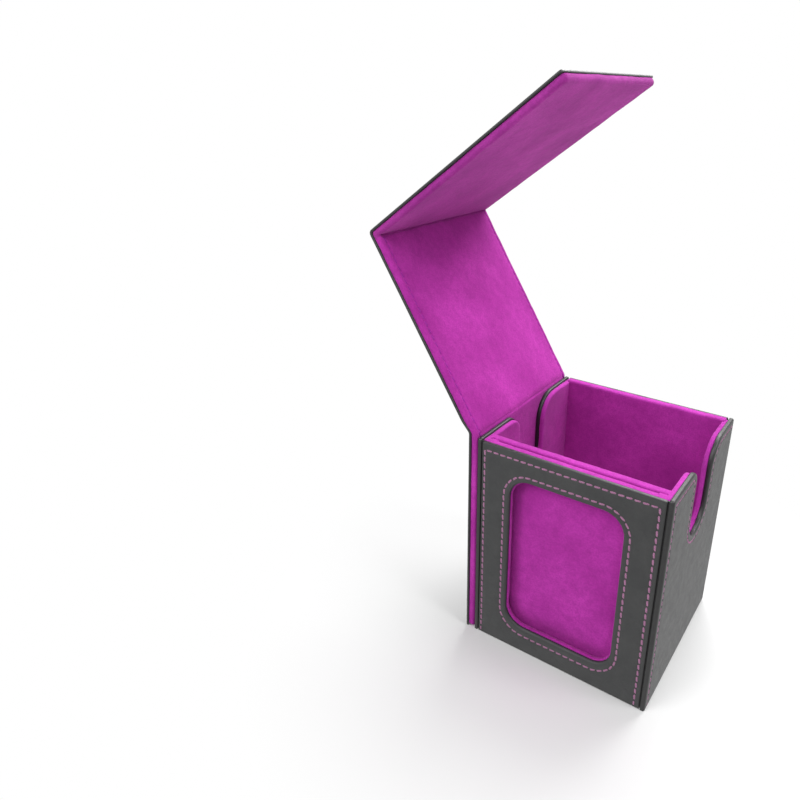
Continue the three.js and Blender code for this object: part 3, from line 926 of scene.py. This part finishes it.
def cover():
    """The wrapping cover: three leather and three suede layers, which bend at the crease and the fold."""
    lid = stations(LID_START_OUT, LID_START_IN, LID_END_OUT, LID_END_IN)
    layers = {
        "panel": (panel_stations()[::-1], ["cover_side", "hinge"], "suede", pad_relief, CREASE),
        "lid": (lid, ["lid"], "suede", pad_relief, None),
        # The flap's suede is the darker copy, which paints shade on its underside
        "flap": (flap_stations(), ["flap", "fold"], "suede_painted_shade", bend_relief, FOLD),
    }
    for name, (line_stations, nodes, nap, relief, joint) in layers.items():
        body = None if joint else name
        if joint:
            outside = free_end(line_stations, 0, COVER_CORNER, COVER_EDGE)
            padding = free_end(line_stations, PAD_HEM, PAD_CORNER, PAD_EDGE)
        else:
            outside = padding = [(outer, inner, 0, 0) for outer, inner in line_stations]
        leather, edges = strip(outside, COVER_HALF_DEPTH, 0, LEATHER_BACK, (COVER_EDGE, COVER_EDGE),
                               COVER_SEAM, leather_relief)
        suede = strip(padding, PAD_HALF_DEPTH, PAD_TOP, COVER_THICKNESS, (PAD_GLUED_EDGE, PAD_EDGE),
                      LINING_SEAM, relief)[0]
        leathers, suedes = [f"{node}_leather" for node in nodes], [f"{node}_suede" for node in nodes]
        outer_row = cover_rows(line_stations, True, COVER_HALF_DEPTH - COVER_SEAM)
        pieces = [
            make_piece(f"cover_{name}_leather", leather, "leather", leathers, body, edges),
            make_piece(f"cover_{name}_suede", suede, nap, suedes, body),
            make_piece(f"cover_{name}_stitching", outer_row, "thread", (), body),
        ]
        if name != "flap":
            inner_row = cover_rows(line_stations, False, PAD_HALF_DEPTH - LINING_SEAM)
            pieces.append(make_piece(f"cover_{name}_lining_stitching", inner_row, "lining_thread", (), body))
        if joint:
            for piece in pieces:
                blend_across(piece, *joint)


# Materials. Noise scales count waves in a metre.

def new_material(name):
    look = bpy.data.materials.new(name)
    look.use_nodes = True
    return look, look.node_tree, look.node_tree.nodes["Principled BSDF"]


def give(tree, node, values):
    """Sets a node's inputs, each to a value or to another node's output."""
    for name, value in values.items():
        if isinstance(value, bpy.types.NodeSocket):
            tree.links.new(value, node.inputs[name])
        else:
            node.inputs[name].default_value = value
    return node


def add(tree, kind, values=None, **settings):
    node = tree.nodes.new(kind)
    for name, value in settings.items():
        setattr(node, name, value)
    return give(tree, node, values or {})


def place_of(tree, stretch=(1, 1, 1)):
    """The point on the object, in metres, with an optional stretch."""
    coordinates = add(tree, "ShaderNodeTexCoord").outputs["Object"]
    return add(tree, "ShaderNodeMapping", {"Vector": coordinates, "Scale": stretch}).outputs["Vector"]


def noise_of(tree, scale, detail=3.0, roughness=0.5, distortion=0.0, stretch=(1, 1, 1)):
    values = {"Vector": place_of(tree, stretch), "Scale": scale, "Detail": detail, "Roughness": roughness,
              "Distortion": distortion}
    return add(tree, "ShaderNodeTexNoise", values).outputs["Fac"]


def spread(tree, value, low, high, to_low=0.0, to_high=1.0):
    values = {"Value": value, "From Min": low, "From Max": high, "To Min": to_low, "To Max": to_high}
    return add(tree, "ShaderNodeMapRange", values).outputs["Result"]


def mixed(tree, share, first, second):
    return add(tree, "ShaderNodeMix", {0: share, 6: first, 7: second}, data_type="RGBA").outputs[2]


def darker(colour, share):
    return [channel * share for channel in colour[:3]] + [1]


def bumped(tree, heights):
    """The normal of stacked bumps, each a height output with its strength and its depth in metres."""
    values = {}
    for height, strength, depth in heights:
        values.update({"Height": height, "Strength": strength, "Distance": depth})
        values["Normal"] = add(tree, "ShaderNodeBump", values).outputs["Normal"]
    return values["Normal"]


def leather_look():
    look, tree, shader = new_material("black_leather")
    pebbles = add(tree, "ShaderNodeTexVoronoi", {"Vector": place_of(tree), "Scale": 1350.0},
                  feature="DISTANCE_TO_EDGE").outputs["Distance"]
    pebble_height = spread(tree, pebbles, 0.0, 0.22)
    pores = noise_of(tree, 2600.0, 2.0)
    wrinkles = noise_of(tree, 260.0, 4.0, 0.6, 0.6)
    tone = noise_of(tree, 90.0, 5.0, 0.6)
    dark, worn, crack = (0.023, 0.024, 0.025, 1), (0.033, 0.034, 0.034, 1), (0.012, 0.012, 0.012, 1)
    colour = mixed(tree, spread(tree, tone, 0.35, 0.65), dark, worn)
    heights = [(wrinkles, 0.2, 0.0002), (pebble_height, 0.3, 0.00006), (pores, 0.12, 0.00003)]
    give(tree, shader, {
        "Base Color": mixed(tree, spread(tree, pebbles, 0.0, 0.1, 0.35, 0.0), colour, crack),
        "Roughness": spread(tree, wrinkles, 0.3, 0.7, 0.5, 0.64),
        "Specular IOR Level": 0.5,
        "Sheen Weight": 0.07,
        "Sheen Roughness": 0.4,
        "Normal": bumped(tree, heights),
    })
    return look


def edge_look():
    """The leather's painted edges: smoother and blacker than its faces."""
    look, tree, shader = new_material("painted_edge")
    flow = noise_of(tree, 500.0, 3.0, 0.6)
    dark, light = (0.008, 0.008, 0.0085, 1), (0.015, 0.015, 0.0155, 1)
    give(tree, shader, {
        "Base Color": mixed(tree, spread(tree, flow, 0.35, 0.65), dark, light),
        "Roughness": spread(tree, flow, 0.3, 0.7, 0.38, 0.48),
        "Normal": bumped(tree, [(flow, 0.3, 0.0001)]),
    })
    return look


def suede_look(name, deep, bright):
    """Napped suede: faint blotches where the nap lies another way, mottled tufts and fine fibres."""
    look, tree, shader = new_material(name)
    blotches = noise_of(tree, 45.0, 2.0, 0.5)
    tufts = noise_of(tree, 330.0, 4.0, 0.6)
    nap = noise_of(tree, 1500.0, 3.0, 0.65)
    fibres = noise_of(tree, 4200.0, 2.0, 0.6)
    tone = mixed(tree, spread(tree, blotches, 0.3, 0.7), deep, bright)
    tone = mixed(tree, spread(tree, tufts, 0.3, 0.6, 0.34, 0.0), tone, darker(deep, 0.6))
    tone = mixed(tree, spread(tree, nap, 0.35, 0.65, 0.34, 0.0), tone, darker(deep, 0.5))
    give(tree, shader, {
        "Base Color": tone,
        "Roughness": 0.95,
        "Specular IOR Level": 0.15,
        "Sheen Weight": 0.17,
        "Sheen Roughness": 0.45,
        "Sheen Tint": (1.0, 0.6, 0.92, 1),
        "Normal": bumped(tree, [(tufts, 0.3, 0.0003), (nap, 0.55, 0.00018), (fibres, 0.6, 0.00006)]),
    })
    return look


def thread_look(name, colour):
    """Waxed thread with the slant of its twist."""
    look, tree, shader = new_material(name)
    twist = add(tree, "ShaderNodeTexWave", {"Vector": place_of(tree), "Scale": 700.0, "Distortion": 2.0},
                bands_direction="DIAGONAL").outputs["Fac"]
    give(tree, shader, {
        "Base Color": mixed(tree, spread(tree, twist, 0.2, 0.8), darker(colour, 0.75), colour),
        "Roughness": 0.8,
        "Specular IOR Level": 0.2,
        "Normal": bumped(tree, [(twist, 0.35, 0.0001)]),
    })
    return look


def greyboard_look():
    look, tree, shader = new_material("grey_board")
    flecks = noise_of(tree, 900.0, 4.0, 0.7)
    dark, light = (0.2, 0.18, 0.15, 1), (0.33, 0.3, 0.26, 1)
    give(tree, shader, {
        "Base Color": mixed(tree, spread(tree, flecks, 0.3, 0.7), dark, light),
        "Roughness": 0.9,
        "Normal": bumped(tree, [(flecks, 0.3, 0.0001)]),
    })
    return look


def steel_look():
    look, tree, shader = new_material("nickel_plate")
    scratches = noise_of(tree, 500.0, 3.0, 0.6, stretch=(1, 8, 1))
    give(tree, shader, {
        "Base Color": mixed(tree, scratches, (0.5, 0.52, 0.54, 1), (0.62, 0.64, 0.66, 1)),
        "Roughness": spread(tree, scratches, 0.3, 0.7, 0.2, 0.4),
        "Metallic": 1.0,
        "Normal": bumped(tree, [(scratches, 0.1, 0.00002)]),
    })
    return look


LOOKS = {
    "leather": leather_look(),
    "leather_edge": edge_look(),
    "suede": suede_look("purple_suede", SUEDE_DEEP, SUEDE_BRIGHT),
    # A lighter copy of the suede paints a highlight on the linings' rims
    "suede_rim_highlight": suede_look("rim_highlight_suede", RIM_HIGHLIGHT_DEEP, RIM_HIGHLIGHT_BRIGHT),
    # The flap's darker suede copy paints shade on the flap's underside
    "suede_painted_shade": suede_look("painted_shade_suede", FLAP_SHADE_DEEP, FLAP_SHADE_BRIGHT),
    "thread": thread_look("mauve_thread", THREAD),
    "lining_thread": thread_look("purple_thread", LINING_THREAD),
    "greyboard": greyboard_look(),
    "magnet_steel": steel_look(),
}


def finish_frame():
    """Gives the CAD pieces their own finish, for those that nothing here stands for."""
    slots = {row["node"]: row["material_slot"] for row in frame["record"]["subparts"]}
    for node, piece in frame["nodes"].items():
        piece.data.materials.clear()
        piece.data.materials.append(LOOKS[slots[node]])


# Studio, in metres and watts
WORLD_STRENGTH = 0.02
LAMP_TARGET = Vector((0, 0, 0.09))
LAMPS = {
    "back_lamp": ((0, 0.6, 0.85), 0.7, 11.5),
    "right_lamp": ((0.68, 0, 0.9), 0.5, 6.0),
    "front_lamp": ((0, -0.6, 0.85), 0.5, 3.2),
    "left_lamp": ((-0.45, -0.6, 0.7), 0.5, 2.0),
    "low_left_lamp": ((-0.6, -0.8, 0.4), 0.5, 2.2),
}
WHITE = (1, 1, 1, 1)
PAPER = (0.79, 0.79, 0.79, 1)
FLOOR_REACH = 6
PAPER_FADE = (0.055, 0.16)

# Camera, fitted to the photograph's edges
AZIMUTH = 33.024
ELEVATION = 22.267
ROLL = 0.988
CAMERA_PLACE = Vector((93.65, -249.33, 233.54)) * MM
FOCAL_PIXELS = 682.06
CENTRE_PIXEL = (477.3, 366.8)
IMAGE_PIXELS = 800
SENSOR = 36
NEAREST_SEEN = 0.01


def make_camera():
    azimuth, elevation = math.radians(AZIMUTH), math.radians(ELEVATION)
    back = Vector((
        math.sin(azimuth) * math.cos(elevation),
        -math.cos(azimuth) * math.cos(elevation),
        math.sin(elevation),
    ))
    right = Matrix.Rotation(math.radians(ROLL), 3, back) @ Vector((0, 0, 1)).cross(back).normalized()
    camera = show("camera", bpy.data.cameras.new("camera"))
    turn = Matrix((right, back.cross(right), back)).transposed()
    camera.matrix_world = Matrix.Translation(CAMERA_PLACE) @ turn.to_4x4()
    camera.data.sensor_width = SENSOR
    camera.data.lens = SENSOR * FOCAL_PIXELS / IMAGE_PIXELS
    camera.data.shift_x = 0.5 - CENTRE_PIXEL[0] / IMAGE_PIXELS
    camera.data.shift_y = CENTRE_PIXEL[1] / IMAGE_PIXELS - 0.5
    camera.data.clip_start = NEAREST_SEEN
    bpy.context.scene.camera = camera


def white_where_seen(tree, shader, white_kind, output, camera_share=1.0):
    """Mixes plain white in for reflected and transmitted rays, and by a share for the camera's."""
    path = add(tree, "ShaderNodeLightPath")
    camera_rays = {0: path.outputs["Is Camera Ray"], 1: camera_share}
    seen = add(tree, "ShaderNodeMath", camera_rays, operation="MULTIPLY").outputs[0]
    for rays in ("Is Glossy Ray", "Is Transmission Ray"):
        seen = add(tree, "ShaderNodeMath", {0: seen, 1: path.outputs[rays]}, operation="MAXIMUM").outputs[0]
    white = add(tree, white_kind, {"Color": WHITE, "Strength": 1.0})
    chosen = add(tree, "ShaderNodeMixShader", {0: seen, 1: shader.outputs[0], 2: white.outputs[0]})
    give(tree, tree.nodes[output], {"Surface": chosen.outputs[0]})


def make_world():
    world = bpy.data.worlds.new("world")
    world.use_nodes = True
    bpy.context.scene.world = world
    tree = world.node_tree
    soft = give(tree, tree.nodes["Background"], {"Color": WHITE, "Strength": WORLD_STRENGTH})
    white_where_seen(tree, soft, "ShaderNodeBackground", "World Output")


def make_floor():
    """Paper that keeps the box's shadow, and passes into plain white further out."""
    mesh = bpy.data.meshes.new("floor")
    corners = [(x * FLOOR_REACH, y * FLOOR_REACH, 0) for x, y in ((-1, -1), (1, -1), (1, 1), (-1, 1))]
    mesh.from_pydata(corners, [], [(0, 1, 2, 3)])
    floor = show("floor", mesh)
    look, tree, shader = new_material("paper")
    give(tree, shader, {"Base Color": PAPER, "Roughness": 0.9, "Specular IOR Level": 0.0})
    away = add(tree, "ShaderNodeVectorMath", {0: place_of(tree)}, operation="LENGTH").outputs["Value"]
    far = spread(tree, away, *PAPER_FADE)
    white_where_seen(tree, shader, "ShaderNodeEmission", "Material Output", far)
    mesh.materials.append(look)


def make_studio():
    for name, (place, size, watts) in LAMPS.items():
        lamp = show(name, bpy.data.lights.new(name, "AREA"))
        lamp.data.size = size
        lamp.data.energy = watts
        lamp.location = place
        lamp.rotation_euler = (LAMP_TARGET - Vector(place)).to_track_quat("-Z", "Y").to_euler()
    make_world()
    make_floor()
    bpy.context.scene.view_settings.view_transform = "Standard"


make_camera()
make_studio()
finish_frame()
front_leather()
front_lining()
inner_walls()
side_wall("left", "right")
side_wall("right", "left")
back_and_bottom()
groove_tapes()
cover()
